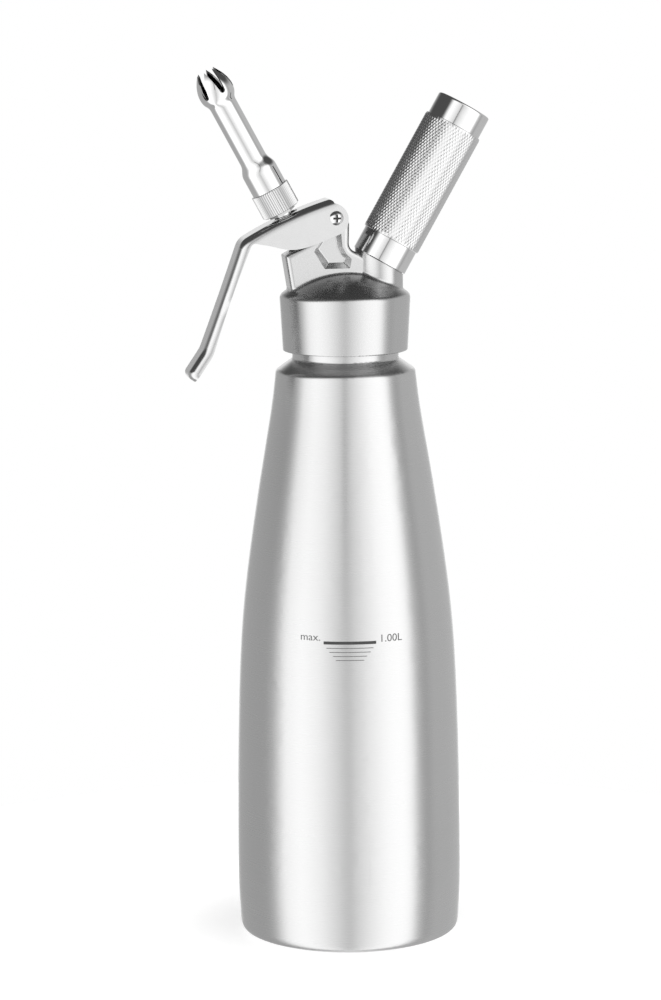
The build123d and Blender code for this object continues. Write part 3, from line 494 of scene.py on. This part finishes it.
# ---------------------------------------------------------------- lever and pivot
# The lever is a channel pressed from stainless sheet, with a satin finish. It swings on a barrel
# through the head's lug, which a domed screw with a cross recess closes. Both are polished.
RECESS_RADIUS = 0.0019
RECESS_FLOOR = 0.0006  # how far behind the dome's tip the recess begins
# how dark the screw's cross recess is painted: painted shade in the hollow
RECESS_PAINTED_SHADE = 0.05
screw_low, screw_high = (Vector(corner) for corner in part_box("pivot_screw"))
screw_middle = (screw_low + screw_high) / 2
screw_tip = (screw_middle.x, screw_low.y, screw_middle.z)


def in_painted_recess(tree):
    """One inside the cross recess of the screw, which is deeper than its dome, where painted shade goes."""
    from_tip = here(tree).vector("SUBTRACT", screw_tip)
    radius = from_tip.vector("MULTIPLY", (1, 0, 1)).vector("LENGTH", output="Value")
    return (radius < RECESS_RADIUS) * (from_tip.part("Y") > RECESS_FLOOR)


dress(steel("satin_lever", (0.62, 0.62, 0.62), roughness=0.16, grain=(0.004, 0.03, 0.004),
            uneven=0.04), "lever")
dress(small_steel, "pivot_barrel")
# The screw's cross recess is painted nearly black, as painted shade where little light gets in.
dress(with_painted_shade(polished("screw_steel"), in_painted_recess, RECESS_PAINTED_SHADE), "pivot_screw")

# ---------------------------------------------------------------- adapter and nozzle
# A ribbed ring, turned and polished, screws on the stem against a rubber gasket. It carries the
# decorating nozzle, a polished steel tube slotted into six teeth. The ring's grooves and the inside
# of the nozzle are darker, because little light falls there.
VALVE_CROSSING = (0, 0, 0.2735)  # where the valve's axis meets the bottle's
RIB_DEPTH = 0.0001
OUTWARD = 0.1
INWARD = -0.3
GROOVE_SHADE = 0.5
INSIDE_SHADE = 0.12

valve_place = Matrix.Translation(VALVE_CROSSING) @ Matrix.Rotation(-VALVE_TILT, 4, "Y")
adapter_points = [valve_place.inverted() @ point.co for point in nodes["nozzle_adapter"].data.vertices]
adapter_radius = max(point.xy.length for point in adapter_points)


def off_valve_axis(tree):
    """How far a point is from the valve's axis, and how squarely its surface faces away from it."""
    from_crossing = here(tree).vector("SUBTRACT", VALVE_CROSSING)
    radial = from_crossing.vector("SUBTRACT", from_crossing.vector("PROJECT", VALVE_AXIS))
    facing = here(tree, "Normal").vector("DOT_PRODUCT", radial.vector("NORMALIZE"), output="Value")
    return radial.vector("LENGTH", output="Value"), facing


def between_ribs(tree):
    radius, facing = off_valve_axis(tree)
    return (radius < adapter_radius - RIB_DEPTH) * (facing > OUTWARD)


def facing_in(tree):
    return off_valve_axis(tree)[1] < INWARD


dress(with_painted_shade(polished("adapter_steel"), between_ribs, GROOVE_SHADE), "nozzle_adapter")
dress(with_painted_shade(polished("nozzle_steel"), facing_in, INSIDE_SHADE), "decorator_nozzle")
dress(black_rubber, "nozzle_gasket")

# ---------------------------------------------------------------- charging valve
# A turned steel body, screwed in the charger boss. It holds the hollow pin that pierces the charger,
# two rubber seals, and a plunger with a small coil of wire, kept in by a perforated plate.
CHARGER_TILT = math.radians(29.7)
CHARGER_AXIS = (math.sin(CHARGER_TILT), 0, math.cos(CHARGER_TILT))

dress(turned_inside, "charging_valve_body", "piercing_pin", "check_plunger", "check_retainer", "check_spring")
dress(black_rubber, "charging_valve_oring", "charger_seal")
coil("check_spring", CHARGER_AXIS)

# ---------------------------------------------------------------- gas charger
# The bulb is drawn from plain steel, and a small disc is crimped over its neck. It stands neck down
# in the holder.
dress(steel("drawn_charger", (0.66, 0.66, 0.67), roughness=0.18, grain=(0.003, 0.003, 0.003)),
      "gas_charger", "charger_cap")

# ---------------------------------------------------------------- charger holder
# A smooth steel tube with a plain closed end, both polished. It screws on the charger boss, over
# charger and pin.
dress(steel("polished_holder", (0.74, 0.74, 0.74), roughness=0.08, grain=(0.003, 0.003, 0.003),
            tilt=CHARGER_TILT, uneven=0.03), "holder_tube", "holder_sleeve", "holder_cap")

# ---------------------------------------------------------------- knurled sleeve
# The grip of the charger holder: a steel sleeve with a diamond knurl rolled between two plain rims,
# pressed on the holder's tube. The knurl is a lattice of points, every second one a peak.
CHARGER_CROSSING = (0, 0, 0.2755)  # where the charger's axis meets the bottle's
KNURL_ROUND = 116
KNURL_ALONG = 42
KNURL_DEPTH = 0.00016
RIM = 0.0002
RIM_CHAMFER = 0.0004
ROW_LIFT = 0.01  # how far the flat lattice is folded while its squares are halved
LATTICE_WELD = 1e-6

charger_place = Matrix.Translation(CHARGER_CROSSING) @ Matrix.Rotation(CHARGER_TILT, 4, "Y")
sleeve_points = [charger_place.inverted() @ point.co for point in nodes["holder_sleeve"].data.vertices]
sleeve_low, sleeve_high = (limit(point.z for point in sleeve_points) for limit in (min, max))
sleeve_bore, sleeve_outer = (limit(point.xy.length for point in sleeve_points) for limit in (min, max))


def rims(work):
    """The sleeve's rims, ends and bore, turned about Z."""
    root = sleeve_outer - KNURL_DEPTH
    rim = sleeve_outer - RIM_CHAMFER
    profile = ((root, sleeve_low + RIM), (rim, sleeve_low), (sleeve_bore, sleeve_low),
               (sleeve_bore, sleeve_high), (rim, sleeve_high), (root, sleeve_high - RIM))
    angles = [math.tau * step / KNURL_ROUND for step in range(KNURL_ROUND)]
    rings = [[work.verts.new((radius * math.cos(angle), radius * math.sin(angle), height))
              for angle in angles] for radius, height in profile]
    for lower, upper in zip(rings, rings[1:]):
        for step in range(KNURL_ROUND):
            after = (step + 1) % KNURL_ROUND
            work.faces.new((lower[step], upper[step], upper[after], lower[after]))


def knurl_tree(finish):
    """Joins a diamond knurl to the mesh that it is given."""
    tree = bpy.data.node_groups.new("knurl", "GeometryNodeTree")
    tree.interface.new_socket("Geometry", in_out="INPUT", socket_type="NodeSocketGeometry")
    tree.interface.new_socket("Geometry", in_out="OUTPUT", socket_type="NodeSocketGeometry")
    for name, kind in (("Steps round", "Int"), ("Steps along", "Int"), ("Outer radius", "Float"),
                       ("Depth", "Float"), ("Bottom", "Float"), ("Top", "Float")):
        tree.interface.new_socket(name, in_out="INPUT", socket_type=f"NodeSocket{kind}")
    given = tree.nodes.new("NodeGroupInput").outputs
    steps_round, steps_along, outer, depth, bottom, top = (Wire(given[place]) for place in range(1, 7))
    grid = Wire.add(tree, "GeometryNodeMeshGrid", (), {
        "Size X": 1.0, "Size Y": 1.0, "Vertices X": steps_round + 1, "Vertices Y": steps_along + 1})
    flat = Wire.add(tree, "GeometryNodeInputPosition")
    across, up = (flat.part(axis) + 0.5 for axis in "XY")
    column, row = ((across * steps_round).math("ROUND"), (up * steps_along).math("ROUND"))
    inside = row.math("MINIMUM", 1) * (steps_along - row).math("MINIMUM", 1)
    peak = inside * (row + column).math("FLOORED_MODULO", 2)
    # rows are raised and sunk in turn, so that the shorter diagonal of each square is a groove
    in_turn = 1 - row.math("FLOORED_MODULO", 2) * 2
    lifted = Wire.add(tree, "ShaderNodeCombineXYZ", (), {"Z": peak * in_turn * ROW_LIFT})
    waved = grid.then("GeometryNodeSetPosition", (), {"Offset": lifted})
    halved = waved.then("GeometryNodeTriangulate", {"quad_method": "SHORTEST_DIAGONAL"})
    angle = across * math.tau
    radius = outer - depth + peak * depth
    rolled = Wire.add(tree, "ShaderNodeCombineXYZ", (), {
        "X": radius * angle.math("COSINE"), "Y": radius * angle.math("SINE"),
        "Z": bottom + up * (top - bottom)})
    band = halved.then("GeometryNodeSetPosition", (), {"Position": rolled})
    joined = tree.nodes.new("GeometryNodeJoinGeometry")
    for part in (band, Wire(given[0])):
        part.feed(joined.inputs[0])
    welded = Wire(joined.outputs[0]).then("GeometryNodeMergeByDistance", (), {"Distance": LATTICE_WELD})
    real = welded.then("GeometryNodeRealizeInstances")
    finished = real.then("GeometryNodeSetMaterial", (), {"Material": finish})
    finished.feed(tree.nodes.new("NodeGroupOutput").inputs[0])
    return tree


def grown(made, tree, sizes):
    """Replace an object's mesh by what its tree of geometry nodes makes of it."""
    modifier = made.modifiers.new("shape", "NODES")
    modifier.node_group = tree
    for socket in tree.interface.items_tree:
        if socket.name in sizes:
            modifier[socket.identifier] = sizes[socket.name]
    shaped = bpy.data.meshes.new_from_object(made.evaluated_get(bpy.context.evaluated_depsgraph_get()))
    made.modifiers.clear()
    made.data = shaped
    return made


knurl_steel = steel("knurl_steel", (0.7, 0.7, 0.7), roughness=0.16, grain=(0.002, 0.002, 0.002),
                    tilt=CHARGER_TILT)
sleeve = grown(stock("knurled_sleeve", rims), knurl_tree(knurl_steel), {
    "Steps round": KNURL_ROUND, "Steps along": KNURL_ALONG, "Outer radius": sleeve_outer,
    "Depth": KNURL_DEPTH, "Bottom": sleeve_low + RIM, "Top": sleeve_high - RIM})
sleeve.data.transform(charger_place)
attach(sleeve, "holder")
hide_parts("holder_sleeve")
